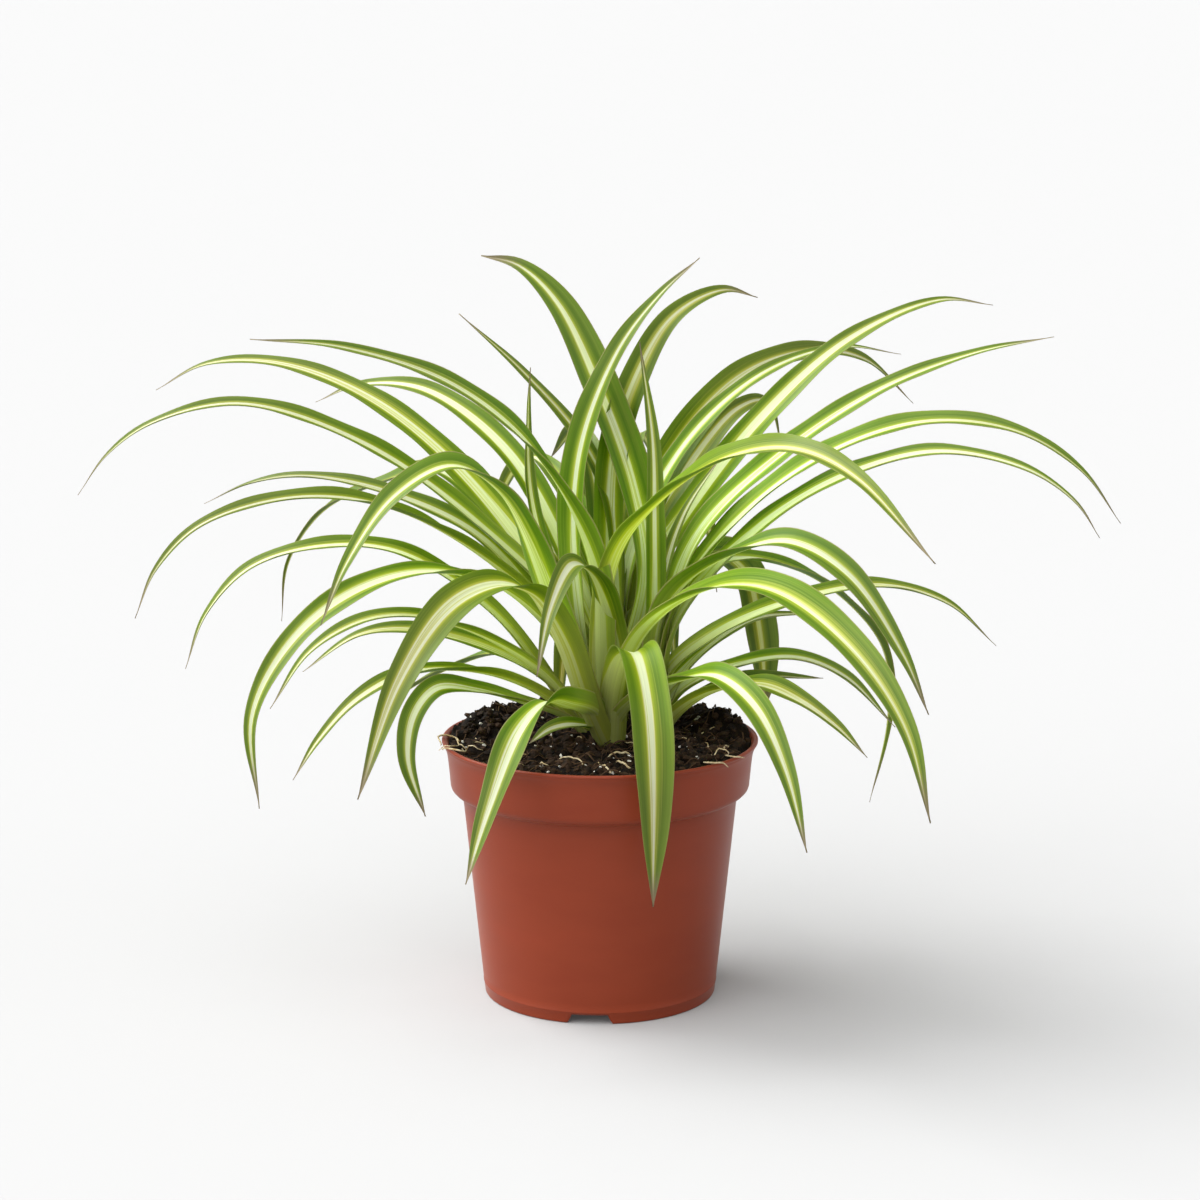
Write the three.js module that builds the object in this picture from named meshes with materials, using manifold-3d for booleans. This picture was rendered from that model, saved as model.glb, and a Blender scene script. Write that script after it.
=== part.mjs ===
// A spider plant in a 12 cm plastic nursery pot, in millimetres, with +Z up.
// The origin is the middle of the pot's foot, on the surface that it stands on.
// Seen from -Y with +X to the right it looks as in a front view.
import * as THREE from 'three';
import { mergeVertices } from 'three/addons/utils/BufferGeometryUtils.js';
import Module from 'manifold-3d';

const wasm = await Module();
wasm.setup();

// ---- driving dimensions of the pot ----
const potHeight = 99.5;
const lipRadius = 60;
const lipHeight = 2.2;
const bandRadius = 58.2;
const bandFootRadius = 56.8;
const bandDepth = 17.5;
const bodyTopRadius = 52.2;
const footRadius = 44.2;
const wall = 1.6;
const floorHeight = 4.2;
const floorThickness = 1.8;
const footRingWidth = 3.2;
const potSides = 48;
const notch = { count: 3, firstAngle: 265, width: 17, topWidth: 13.5, height: 3.6 };
const drainHole = { count: 6, radius: 3.5, circleRadius: 27, sides: 12 };

// ---- driving dimensions of the potting mix ----
const clearance = 0.5;
const crownClearance = 1.3;
const mixEdgeHeight = 97.8;
const mixMound = 0.7;
const backHeap = { height: 4.8, fromY: -6, toY: 18, fromShare: 0.5, toShare: 0.86 };
const heapFall = { part: 0.6, fromShare: 0.88, toShare: 0.96 };
const mixSides = 48;
const mixRings = 12;
const clods = { count: 70, height: 2.6, radius: 6.5, seed: 7 };
// Lumps of mix that stand up against the back of the rim: angle, distance, height, radius.
const banks = [
  [12, 52, 3, 6], [24, 51, 4, 7], [38, 51, 1, 6], [60, 49, 1.5, 7], [85, 50, 1, 8],
  [112, 49, 1.5, 7], [130, 50, 1, 5], [143, 52, 2.5, 4], [157, 52, 3, 5], [166, 52, 2, 4],
];

// ---- driving dimensions of the plant ----
const crownDepth = 12;
const crownRadius = 7;
const crownSides = 14;
const bladeThickness = 0.8;
const bladeSteps = 9;
const baseWidthShare = 0.65;
const taperPower = 1.8;
const tipWidth = 1.2;
const rootReach = 2.5;
const rootHeight = 96;
const foldShare = 0.1;
const twist = { from: 0.25, to: 0.65 };

// Every fan of blades springs from one crown. A blade is a row of
// [heading, width, base tilt, tip tilt, belly, then points of its midline as [reach, height]].
// The heading turns from +X towards +Y, in degrees. A tilt turns the upper face to the front, in degrees:
// the blade twists from its base tilt to its tip tilt. Belly is the share of its length where it is
// widest. Reach is measured from the crown, and height from the pot's foot.
const fans = {
  rosette_front: {
    at: [4, -4],
    blades: [
      [198, 12.5, -40, 40, 0.4, [3, 130], [6, 168], [27, 209], [60, 237], [101, 252], [135, 256]],
      [218, 15, -30, 30, 0.4, [12, 118], [26, 152], [49, 199], [72, 212], [98, 203], [118, 181], [129, 160]],
      [229, 15.5, -10, 32, 0.55, [13, 114], [26, 142], [43, 163], [62, 169], [87, 164], [113, 141], [134, 103]],
      [250, 12.5, 0, 25, 0.45, [-7, 127], [4, 152], [20, 168], [42, 174], [64, 161], [77, 140]],
      [237, 14, -50, 10, 0.55, [4, 105], [13, 114], [27, 119.5], [42, 123.5], [60, 116], [80, 91], [95, 66]],
      [215, 9, 10, 20, 0.5, [5, 103], [15, 107.5], [27, 107.5], [37, 103]],
      [284, 16.5, 0, 8, 0.6, [8, 118], [25, 138], [42, 142], [58, 126], [65, 98], [63, 52]],
      [307, 12, 12, 30, 0.55, [4, 107], [15, 118], [39, 130], [64, 136], [86, 128], [102, 109], [114, 81]],
      [317, 13.5, 5, 40, 0.6, [9, 132], [25, 152], [54, 167], [84, 168], [118, 151], [140, 127], [151, 95]],
      [309, 14, 8, 35, 0.45, [-5, 135], [3, 171], [31, 198], [68, 217], [103, 223], [133, 216], [170, 192]],
    ],
  },
  rosette_left: {
    at: [-3, 12],
    blades: [
      [185, 11, 25, 25, 0.4, [9, 142], [42, 180], [86, 212], [131, 227], [164, 220], [181, 208], [192, 193]],
      [165, 13, 35, 35, 0.4, [9, 138], [42, 187], [82, 221], [122, 236], [155, 235], [176, 224]],
      [165, 10, 20, 20, 0.45, [12, 132], [42, 171], [80, 188], [115, 193], [138, 189], [157, 180]],
      [195, 11, -25, 25, 0.45, [8, 130], [31, 160], [73, 188], [111, 195], [148, 186], [165, 170], [173, 152]],
      [185, 10, 25, 25, 0.5, [16, 118], [38, 147], [72, 170], [101, 173], [129, 165], [146, 147], [154, 126]],
      [209, 11.5, -20, 32, 0.6, [9, 128], [38, 159], [69, 168], [99, 163], [124, 147], [140, 121], [138, 86]],
      [195, 9, -20, 20, 0.5, [17, 120], [43, 139], [69, 148], [89, 147], [109, 136], [124, 115]],
      [185, 9, 25, 25, 0.5, [16, 118], [41, 133], [69, 140], [89, 138], [110, 124]],
      [195, 10, -20, 25, 0.5, [17, 113], [43, 125], [71, 126], [91, 117], [106, 102], [116, 87]],
      [150, 8, 10, 10, 0.5, [14, 112], [38, 125], [66, 116], [90, 101], [103, 84]],
      [200, 9.5, 0, 65, 0.65, [10, 105], [28, 113], [46, 119], [62, 121], [71, 112], [74, 95], [67, 71]],
      [10, 13, 40, 40, 0.5, [-5, 140], [-8, 182], [-4, 213], [10, 246], [26, 266], [41, 279]],
      [150, 8, 20, 20, 0.4, [15, 145], [27, 190], [28, 219], [27, 237]],
    ],
  },
  rosette_right: {
    at: [20, 12],
    blades: [
      [325, 11, -10, 18, 0.5, [12, 108], [28, 119], [48, 124], [66, 120], [82, 112], [95, 102]],
      [5, 9, 15, 15, 0.5, [14, 109], [36, 119], [66, 118]],
      [350, 10, 20, 20, 0.5, [10, 114], [32, 126], [55, 130], [74, 123], [93, 104]],
      [326, 13, -10, 33, 0.55, [2, 140], [12, 157], [34, 172], [60, 179], [85, 169], [108, 142], [119, 121]],
      [0, 11, 20, 20, 0.45, [5, 120], [22, 136], [50, 149], [86, 156], [112, 149], [131, 132]],
      [20, 8, 15, 15, 0.5, [12, 120], [40, 139], [69, 140]],
      [10, 12, 30, 30, 0.4, [6, 145], [18, 176], [49, 205], [88, 229], [126, 242], [156, 247]],
      [355, 12, 25, 25, 0.45, [5, 140], [25, 175], [60, 205], [100, 220], [135, 217], [160, 202], [175, 182]],
      [350, 11.5, 25, 25, 0.45, [8, 140], [40, 179], [72, 200], [107, 210], [140, 204], [158, 192], [167, 179]],
      [150, 9, 50, 50, 0.4, [-1, 140], [-1, 180], [0, 211], [6, 248]],
      [20, 9, 10, 10, 0.4, [3, 150], [12, 181], [28, 204]],
    ],
  },
  rosette_back: {
    at: [4, 26],
    blades: [
      [147, 12, 35, 35, 0.45, [3, 130], [18, 160], [46, 200], [85, 222], [119, 222], [142, 213]],
      [143, 10, 20, 20, 0.5, [10, 125], [49, 167], [85, 190], [116, 182], [149, 166], [168, 142], [172, 117]],
      [30, 11, 15, 15, 0.5, [10, 135], [50, 158], [85, 152], [113, 134], [130, 112], [132, 84], [123, 50]],
      [40, 14.5, -45, -45, 0.8, [14, 130], [35, 153], [55, 160], [72, 149], [79, 127], [82, 105], [81, 90]],
      [22, 13, 35, 35, 0.45, [5, 140], [29, 175], [63, 214], [100, 243], [140, 257], [164, 254]],
      [41, 15, 45, 45, 0.4, [6, 150], [28, 196], [64, 226], [103, 235], [138, 229], [167, 208]],
      [32, 10, 20, 20, 0.4, [8, 160], [31, 202], [68, 229], [107, 238], [138, 233]],
      [50, 12, 40, 40, 0.5, [15, 160], [50, 195], [80, 213], [100, 213], [110, 190]],
      [165, 15.5, 60, 60, 0.66, [-10, 130], [-16, 160], [-10, 193], [3, 228], [20, 261], [36, 275], [51, 278]],
      [30, 13, 60, 60, 0.55, [-1, 160], [1, 205], [11, 233], [27, 255], [50, 264], [66, 260]],
      [160, 8, 40, 40, 0.4, [-2, 150], [0, 185], [12, 209], [36, 234], [62, 255]],
      [110, 13, 0, 0, 0.5, [4, 150], [18, 195], [38, 208], [70, 192]],
      [75, 11, 0, 0, 0.5, [4, 145], [20, 185], [44, 206], [80, 185]],
      [100, 12, 0, 0, 0.5, [12, 130], [38, 168], [66, 165], [80, 128]],
      [125, 11, 0, 0, 0.5, [12, 128], [36, 160], [66, 164], [82, 138]],
      [70, 11, 0, 0, 0.5, [14, 122], [36, 148], [66, 142], [80, 98]],
      [108, 10, 0, 0, 0.5, [12, 112], [34, 132], [58, 120], [70, 78]],
      [80, 10, 0, 0, 0.55, [12, 110], [32, 124], [50, 110], [58, 72]],
      [95, 13, 0, 0, 0.5, [5, 140], [28, 185], [65, 200], [95, 178], [110, 138]],
      [118, 12, 0, 0, 0.5, [5, 140], [30, 180], [68, 194], [94, 176], [104, 152]],
      [66, 12, 0, 0, 0.5, [5, 140], [30, 178], [70, 190], [98, 165], [110, 130]],
    ],
  },
};

const materials = {
  pot: [0xb0492f, 0.45],
  potting_mix: [0x2a1e14, 0.95],
  rosette_front: [0x5b8c2e, 0.5],
  rosette_left: [0x648f34, 0.5],
  rosette_right: [0x4f8429, 0.5],
  rosette_back: [0x5b8c2e, 0.5],
};

const degrees = (angle) => THREE.MathUtils.degToRad(angle);

function toSolid(geometry) {
  const bare = geometry.clone();
  bare.deleteAttribute('normal');
  bare.deleteAttribute('uv');
  const merged = mergeVertices(bare, 1e-4);
  return new wasm.Manifold(new wasm.Mesh({
    numProp: 3,
    vertProperties: new Float32Array(merged.attributes.position.array),
    triVerts: new Uint32Array(merged.index.array),
  }));
}

function toGeometry(solid) {
  const mesh = solid.getMesh();
  const geometry = new THREE.BufferGeometry();
  geometry.setAttribute('position', new THREE.BufferAttribute(mesh.vertProperties, 3));
  geometry.setIndex(new THREE.BufferAttribute(mesh.triVerts, 1));
  geometry.computeVertexNormals();
  return geometry;
}

function lathe(profile, sides) {
  const points = profile.map(([radius, height]) => new THREE.Vector2(radius, height));
  return new THREE.LatheGeometry(points, sides).rotateX(Math.PI / 2).rotateZ(Math.PI / 2);
}

// The same small generator of seeded draws from 0 to 1 for every scattered thing.
function seededDraws(seed) {
  let state = seed;
  return () => {
    state = (state * 1664525 + 1013904223) % 4294967296;
    return state / 4294967296;
  };
}

// ---- the pot ----
// Radius of the outside of the tapering body at a height.
function bodyRadius(height) {
  const bodyTop = potHeight - bandDepth - 4;
  return footRadius + (bodyTopRadius - footRadius) * (height / bodyTop);
}

function potOutline() {
  const bandFoot = potHeight - bandDepth;
  const outside = [
    [footRadius - 0.8, 0],
    [footRadius, 0.8],
    [bodyRadius(bandFoot - 4), bandFoot - 4],
    [bandFootRadius - 3.2, bandFoot - 3],
    [bandFootRadius - 0.9, bandFoot - 1.6],
    [bandFootRadius, bandFoot],
    [bandRadius, potHeight - lipHeight],
    [lipRadius - 0.5, potHeight - lipHeight + 0.4],
    [lipRadius, potHeight - lipHeight / 2],
    [lipRadius - 0.7, potHeight - 0.3],
    [lipRadius - 1.6, potHeight],
  ];
  const inside = [
    [bandRadius - wall, potHeight - 0.6],
    [bandFootRadius - wall, bandFoot + 0.4],
    [bodyTopRadius - wall, bandFoot - 4],
    [bodyRadius(floorHeight + floorThickness) - wall, floorHeight + floorThickness],
    [0, floorHeight + floorThickness],
  ];
  const underside = [[0, floorHeight], [footRadius - footRingWidth, floorHeight], [footRadius - footRingWidth, 0]];
  return [...underside, ...outside, ...inside];
}

// A drainage notch: a trapezoid cut through the foot ring, wider at the bottom.
function notchCutter(angle) {
  const half = notch.width / 2;
  const topHalf = notch.topWidth / 2;
  const outline = new THREE.Shape([
    new THREE.Vector2(-half, -1),
    new THREE.Vector2(half, -1),
    new THREE.Vector2(topHalf, notch.height),
    new THREE.Vector2(-topHalf, notch.height),
  ]);
  const depth = 3 * footRingWidth;
  return new THREE.ExtrudeGeometry(outline, { depth, bevelEnabled: false })
    .rotateX(Math.PI / 2)
    .rotateZ(Math.PI / 2)
    .translate(footRadius - 2 * footRingWidth, 0, 0)
    .rotateZ(degrees(angle));
}

function drainCutter(angle) {
  return new THREE.CylinderGeometry(drainHole.radius, drainHole.radius, 4 * floorThickness, drainHole.sides)
    .rotateX(Math.PI / 2)
    .translate(drainHole.circleRadius, 0, floorHeight)
    .rotateZ(degrees(angle));
}

function potGeometry() {
  let pot = toSolid(lathe(potOutline(), potSides));
  for (let i = 0; i < notch.count; i += 1) {
    pot = pot.subtract(toSolid(notchCutter(notch.firstAngle + (360 / notch.count) * i)));
  }
  for (let i = 0; i < drainHole.count; i += 1) {
    pot = pot.subtract(toSolid(drainCutter((360 / drainHole.count) * i)));
  }
  return toGeometry(pot);
}

// ---- the potting mix ----
function mixLumps() {
  const draw = seededDraws(clods.seed);
  const lumps = banks.map(([angle, distance, height, radius]) => ({
    x: distance * Math.cos(degrees(angle)),
    y: distance * Math.sin(degrees(angle)),
    height,
    radius,
  }));
  for (let i = 0; i < clods.count; i += 1) {
    const angle = 2 * Math.PI * draw();
    const distance = 55 * Math.sqrt(draw());
    lumps.push({
      x: distance * Math.cos(angle),
      y: distance * Math.sin(angle),
      height: clods.height * (draw() - 0.35),
      radius: clods.radius * (0.6 + 0.6 * draw()),
    });
  }
  return lumps;
}

// Height of the mix at a point: a low mound with clods and banks on it. Behind the plant it is heaped up
// and falls off again just inside the wall.
function mixHeight(x, y, lumps) {
  const share = Math.hypot(x, y) / bandRadius;
  const backwards = THREE.MathUtils.smoothstep(y, backHeap.fromY, backHeap.toY);
  const outwards = THREE.MathUtils.smoothstep(share, backHeap.fromShare, backHeap.toShare)
    - heapFall.part * THREE.MathUtils.smoothstep(share, heapFall.fromShare, heapFall.toShare);
  let height = mixEdgeHeight + mixMound * (1 - share * share) + backHeap.height * backwards * outwards;
  for (const lump of lumps) {
    const away = Math.hypot(x - lump.x, y - lump.y) / lump.radius;
    height += lump.height * Math.exp(-away * away * 1.6);
  }
  return height;
}

// Closed body of revolution with an uneven top: rings of points from the underside to the top's middle.
function mixBody() {
  const lumps = mixLumps();
  const bandFoot = potHeight - bandDepth;
  const bottom = floorHeight + floorThickness + clearance;
  const sideRings = [
    [bodyRadius(bottom) - wall - clearance, bottom],
    [bodyTopRadius - wall - clearance, bandFoot - 4],
    [bandFootRadius - wall - clearance - 0.3, bandFoot + 1],
  ];
  const topRadius = bandFootRadius - wall - clearance + 0.6;
  const positions = [0, 0, bottom];
  const addRing = (radius, heightAt) => {
    for (let i = 0; i < mixSides; i += 1) {
      const angle = (2 * Math.PI * i) / mixSides;
      const x = radius * Math.cos(angle);
      const y = radius * Math.sin(angle);
      positions.push(x, y, heightAt(x, y));
    }
  };
  sideRings.forEach(([radius, height]) => addRing(radius, () => height));
  for (let ring = mixRings; ring >= 1; ring -= 1) {
    addRing((topRadius * ring) / mixRings, (x, y) => mixHeight(x, y, lumps));
  }
  positions.push(0, 0, mixHeight(0, 0, lumps));
  const ringCount = sideRings.length + mixRings;
  const last = 1 + ringCount * mixSides;
  const index = [];
  for (let i = 0; i < mixSides; i += 1) {
    const next = (i + 1) % mixSides;
    index.push(0, 1 + next, 1 + i);
    for (let ring = 0; ring < ringCount - 1; ring += 1) {
      const low = 1 + ring * mixSides;
      const high = low + mixSides;
      index.push(low + i, low + next, high + next, low + i, high + next, high + i);
    }
    const top = 1 + (ringCount - 1) * mixSides;
    index.push(top + i, top + next, last);
  }
  const geometry = new THREE.BufferGeometry();
  geometry.setAttribute('position', new THREE.Float32BufferAttribute(positions, 3));
  geometry.setIndex(index);
  return geometry;
}

function mixGeometry() {
  let mix = toSolid(mixBody());
  const holeTop = mixEdgeHeight + 20;
  const holeBottom = mixEdgeHeight + mixMound - crownDepth - clearance;
  for (const { at } of Object.values(fans)) {
    const hole = new THREE.CylinderGeometry(
      crownRadius + crownClearance, crownRadius + crownClearance, holeTop - holeBottom, crownSides,
    ).rotateX(Math.PI / 2).translate(at[0], at[1], (holeTop + holeBottom) / 2);
    mix = mix.subtract(toSolid(hole));
  }
  return toGeometry(mix);
}

// ---- the plant ----
// The short pale stub that a fan's blades spring from.
function crownGeometry([x, y]) {
  const foot = mixEdgeHeight + mixMound - crownDepth;
  const profile = [
    [0, foot],
    [crownRadius * 0.7, foot],
    [crownRadius, foot + 3],
    [crownRadius, foot + crownDepth],
    [crownRadius * 0.85, foot + crownDepth + 8],
    [crownRadius * 0.5, foot + crownDepth + 16],
    [0, foot + crownDepth + 18],
  ];
  return lathe(profile, crownSides).translate(x, y, 0);
}

// Width along a blade: it widens from its base to its belly and runs out in a long point.
function bladeWidth(width, belly, along) {
  if (along < belly) {
    const rise = Math.sin((Math.PI / 2) * (along / belly));
    return width * (baseWidthShare + (1 - baseWidthShare) * rise);
  }
  const fall = (along - belly) / (1 - belly);
  return Math.max(width * (1 - fall ** taperPower), tipWidth);
}

function bladeMidline([x, y], heading, path) {
  const out = new THREE.Vector3(Math.cos(degrees(heading)), Math.sin(degrees(heading)), 0);
  const root = [rootReach, rootHeight];
  const points = [root, ...path].map(([reach, height]) => (
    new THREE.Vector3(x, y, height).addScaledVector(out, reach)
  ));
  return new THREE.CatmullRomCurve3(points, false, 'centripetal');
}

// One blade: a shallow gutter-shaped section of six points carried along the midline.
function bladeGeometry(at, [heading, width, baseTilt, tipTilt, belly, ...path]) {
  const midline = bladeMidline(at, heading, path);
  const aside = new THREE.Vector3(-Math.sin(degrees(heading)), Math.cos(degrees(heading)), 0);
  const frontSide = Math.cos(degrees(heading)) >= 0 ? 1 : -1;
  const positions = [];
  for (let i = 0; i <= bladeSteps; i += 1) {
    const along = i / bladeSteps;
    const centre = midline.getPointAt(along);
    const tangent = midline.getTangentAt(along);
    const across = aside.clone().addScaledVector(tangent, -aside.dot(tangent)).normalize();
    const twisted = THREE.MathUtils.smoothstep(along, twist.from, twist.to);
    const tilt = THREE.MathUtils.lerp(baseTilt, tipTilt, twisted);
    across.applyAxisAngle(tangent, degrees(frontSide * tilt));
    const up = new THREE.Vector3().crossVectors(tangent, across).normalize();
    const half = bladeWidth(width, belly, along) / 2;
    const lift = 2 * half * foldShare;
    for (const [side, rise, skin] of [[-1, 1, 1], [0, 0, 1], [1, 1, 1], [1, 1, -1], [0, 0, -1], [-1, 1, -1]]) {
      const point = centre.clone()
        .addScaledVector(across, side * half)
        .addScaledVector(up, (rise - 0.5) * lift + (skin * bladeThickness) / 2);
      positions.push(point.x, point.y, point.z);
    }
  }
  const index = [0, 1, 5, 1, 4, 5, 1, 2, 4, 2, 3, 4];
  const end = bladeSteps * 6;
  for (let i = 0; i < 12; i += 3) {
    index.push(end + index[i], end + index[i + 2], end + index[i + 1]);
  }
  for (let i = 0; i < bladeSteps; i += 1) {
    for (let corner = 0; corner < 6; corner += 1) {
      const a = i * 6 + corner;
      const b = i * 6 + ((corner + 1) % 6);
      index.push(a, a + 6, b + 6, a, b + 6, b);
    }
  }
  const geometry = new THREE.BufferGeometry();
  geometry.setAttribute('position', new THREE.Float32BufferAttribute(positions, 3));
  geometry.setIndex(index);
  return geometry;
}

function rosetteGeometry({ at, blades }) {
  let rosette = toSolid(crownGeometry(at));
  for (const blade of blades) {
    rosette = rosette.add(toSolid(bladeGeometry(at, blade)));
  }
  const bodies = rosette.decompose().sort((a, b) => b.volume() - a.volume());
  return toGeometry(bodies[0]);
}

function namedMesh(name, geometry) {
  const [color, roughness] = materials[name];
  const mesh = new THREE.Mesh(geometry, new THREE.MeshStandardMaterial({ color, roughness, metalness: 0 }));
  mesh.name = name;
  return mesh;
}

const plant = new THREE.Group();
plant.add(namedMesh('pot', potGeometry()));
plant.add(namedMesh('potting_mix', mixGeometry()));
for (const [name, fan] of Object.entries(fans)) {
  plant.add(namedMesh(name, rosetteGeometry(fan)));
}

export default plant;
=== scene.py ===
import math
import bpy
import numpy as np
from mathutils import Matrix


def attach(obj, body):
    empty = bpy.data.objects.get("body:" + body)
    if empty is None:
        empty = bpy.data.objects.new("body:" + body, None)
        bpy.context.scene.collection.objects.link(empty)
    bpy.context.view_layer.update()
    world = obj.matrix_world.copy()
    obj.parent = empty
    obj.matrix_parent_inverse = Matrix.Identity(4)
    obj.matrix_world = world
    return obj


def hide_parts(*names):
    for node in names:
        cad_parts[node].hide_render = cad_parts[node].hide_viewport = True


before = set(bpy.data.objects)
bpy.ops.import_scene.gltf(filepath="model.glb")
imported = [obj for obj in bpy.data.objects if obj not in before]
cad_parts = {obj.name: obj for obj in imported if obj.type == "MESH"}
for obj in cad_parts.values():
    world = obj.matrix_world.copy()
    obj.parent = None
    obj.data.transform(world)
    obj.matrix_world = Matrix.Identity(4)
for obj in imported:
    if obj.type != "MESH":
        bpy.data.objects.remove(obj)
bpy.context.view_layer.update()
print("frame:", len(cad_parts), "nodes of the packed model")

mm = 0.001  # every size below is in millimetres, and a mesh is in metres


def hexColour(text):
    # an sRGB hex colour turned linear, with alpha 1
    values = [int(text[i:i + 2], 16) / 255 for i in (1, 3, 5)]
    return (*[v / 12.92 if v <= 0.04045 else ((v + 0.055) / 1.055) ** 2.4 for v in values], 1.0)


def addNode(tree, kind, inputs=None, ramp=None, **settings):
    # a node with its settings; an input is a value, a socket, or a node whose first output it takes
    node = tree.nodes.new(kind)
    for name, value in settings.items():
        setattr(node, name, value)
    for key, value in (inputs or {}).items():
        if isinstance(value, bpy.types.Node):
            value = value.outputs[0]
        if isinstance(value, bpy.types.NodeSocket):
            tree.links.new(value, node.inputs[key])
        else:
            node.inputs[key].default_value = hexColour(value) if isinstance(value, str) else value
    if ramp:
        elements = node.color_ramp.elements
        for i, (place, colour) in enumerate(ramp):
            element = elements[i] if i < 2 else elements.new(place)
            element.position = place
            element.color = hexColour(colour)
    return node


def newMaterial(name):
    # an empty node material and its output node
    material = bpy.data.materials.new(name)
    material.use_nodes = True
    material.node_tree.nodes.clear()
    output = addNode(material.node_tree, "ShaderNodeOutputMaterial")
    return material, material.node_tree, output


def gridFaces(rows, columns):
    # quads between rings of points stored ring by ring, with the last column joined to the first
    r, c = np.meshgrid(np.arange(rows - 1), np.arange(columns), indexing="ij")
    n = (c + 1) % columns
    quads = [r * columns + c, r * columns + n, (r + 1) * columns + n, (r + 1) * columns + c]
    return np.stack(quads, -1).reshape(-1, 4)


def capFaces(start, count, centre, flip):
    # triangles from a centre point to the edges of a ring of points; flip turns them to face the other way
    here = start + np.arange(count)
    onward = start + (np.arange(count) + 1) % count
    edge = [onward, here] if flip else [here, onward]
    return np.stack([np.full(count, centre), *edge], -1).tolist()


def tubeFaces(rows, columns, count, flip=False):
    # the walls and both end faces of closed tubes, stored one after another and each ring by ring
    start = rows * columns * np.arange(count)[:, None]
    walls = (gridFaces(rows, columns)[None] + start[..., None]).reshape(-1, 4)
    ring = np.arange(columns)
    ends = np.vstack([start + ring[::-1], start + (rows - 1) * columns + ring])
    step = -1 if flip else 1
    return walls[:, ::step].tolist() + ends[:, ::step].tolist()


def makePiece(name, points, faces, material, slot, smooth=True):
    # a mesh from points in millimetres and lists of corners, riding on the fixed body
    mesh = bpy.data.meshes.new(name)
    mesh.from_pydata((points * mm).tolist(), [], faces)
    mesh.polygons.foreach_set("use_smooth", np.full(len(mesh.polygons), smooth))
    mesh.materials.append(material)
    mesh.update()
    piece = bpy.data.objects.new(name, mesh)
    bpy.context.scene.collection.objects.link(piece)
    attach(piece, "root")
    return piece


def setAttributes(piece, values):
    # one number per point for each name
    for name, numbers in values.items():
        attribute = piece.data.attributes.new(name, "FLOAT", "POINT")
        attribute.data.foreach_set("value", np.asarray(numbers, np.float32))


def setUv(piece, name, uv):
    # the same map coordinates at every corner of a point
    corners = np.zeros(len(piece.data.loops), np.int32)
    piece.data.loops.foreach_get("vertex_index", corners)
    layer = piece.data.uv_layers.new(name=name)
    layer.data.foreach_set("uv", uv[corners].astype(np.float32).ravel())


def smoothStep(low, high, x):
    # 0 below low, 1 above high, and an S-shaped rise between them
    t = np.clip((x - low) / (high - low), 0, 1)
    return t * t * (3 - 2 * t)


def valueNoise(x, y, size, seed):
    # heights from -1 to 1 drawn at the corners of squares of that size, blended smoothly between them
    cells = 64
    table = np.random.default_rng(seed).uniform(-1, 1, (cells, cells))
    u, v = x / size, y / size
    i, j = np.floor(u).astype(int), np.floor(v).astype(int)
    a, b = u - i, v - j
    a, b = a * a * (3 - 2 * a), b * b * (3 - 2 * b)
    left, right, front, back = i % cells, (i + 1) % cells, j % cells, (j + 1) % cells
    low = table[left, front] * (1 - a) + table[right, front] * a
    high = table[left, back] * (1 - a) + table[right, back] * a
    return low * (1 - b) + high * b


# pitch is in degrees below level; the lens and the sensor are in millimetres
camera = {"place": (0, -1154, 386), "pitch": 11.45, "lens": 93.9, "sensor": 36}

cameraData = bpy.data.cameras.new("camera")
cameraData.lens = camera["lens"]
cameraData.sensor_width = camera["sensor"]
cameraObject = bpy.data.objects.new("camera", cameraData)
cameraObject.location = [v * mm for v in camera["place"]]
cameraObject.rotation_euler = (math.radians(90 - camera["pitch"]), 0, 0)
bpy.context.scene.collection.objects.link(cameraObject)
bpy.context.scene.camera = cameraObject
bpy.context.scene.view_settings.view_transform = "Standard"

suns = {
    "keyLight": {"strength": 4.0, "height": 48, "side": 152, "softness": 38},
    "fillLight": {"strength": 3.2, "height": 56, "side": 235, "softness": 80},
    "sideLight": {"strength": 1.3, "height": 22, "side": 203, "softness": 60},
    "rimLight": {"strength": 0.5, "height": 18, "side": 338, "softness": 50},
}
# brightness of the surroundings above, beside and in front; the floor's painted glow, though it is no lamp,
# which lightens its shadows; the floor reaches so many metres each way
studio = {
    "above": 0.5, "beside": 0.75, "inFront": 0.32,
    "floor": "#A3A3A3", "floorPaintedGlow": 0.04, "floorReach": 150,
}


def addSun(name, strength, height, side, softness):
    # soft light from a side counted from +X towards +Y, at a height above the floor, both in degrees
    data = bpy.data.lights.new(name, "SUN")
    data.energy, data.angle = strength, math.radians(softness)
    lamp = bpy.data.objects.new(name, data)
    lamp.rotation_euler = (math.radians(90 - height), 0, math.radians(side + 90))
    bpy.context.scene.collection.objects.link(lamp)


for name, sun in suns.items():
    addSun(name, **sun)

world = bpy.data.worlds.new("studio")
bpy.context.scene.world = world
world.use_nodes = True
sky = world.node_tree
sky.nodes.clear()
view = addNode(sky, "ShaderNodeTexCoord").outputs["Generated"]
direction = addNode(sky, "ShaderNodeSeparateXYZ", {0: view})
# bright surroundings beside and behind the plant, dark ones in front of it, and a ceiling between the two
level = addNode(sky, "ShaderNodeMapRange", {
    "Value": direction.outputs["Y"], "From Min": -0.85, "From Max": 0.15,
    "To Min": studio["inFront"], "To Max": studio["beside"]}, interpolation_type="SMOOTHSTEP")
upwards = addNode(sky, "ShaderNodeMapRange", {
    "Value": direction.outputs["Z"], "From Min": 0.2, "From Max": 0.75}, interpolation_type="SMOOTHSTEP")
surround = addNode(sky, "ShaderNodeMix", {0: upwards, 2: level, 3: studio["above"]})
background = addNode(sky, "ShaderNodeBackground", {"Color": "#FFFFFF", "Strength": surround})
addNode(sky, "ShaderNodeOutputWorld", {"Surface": background})
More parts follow.
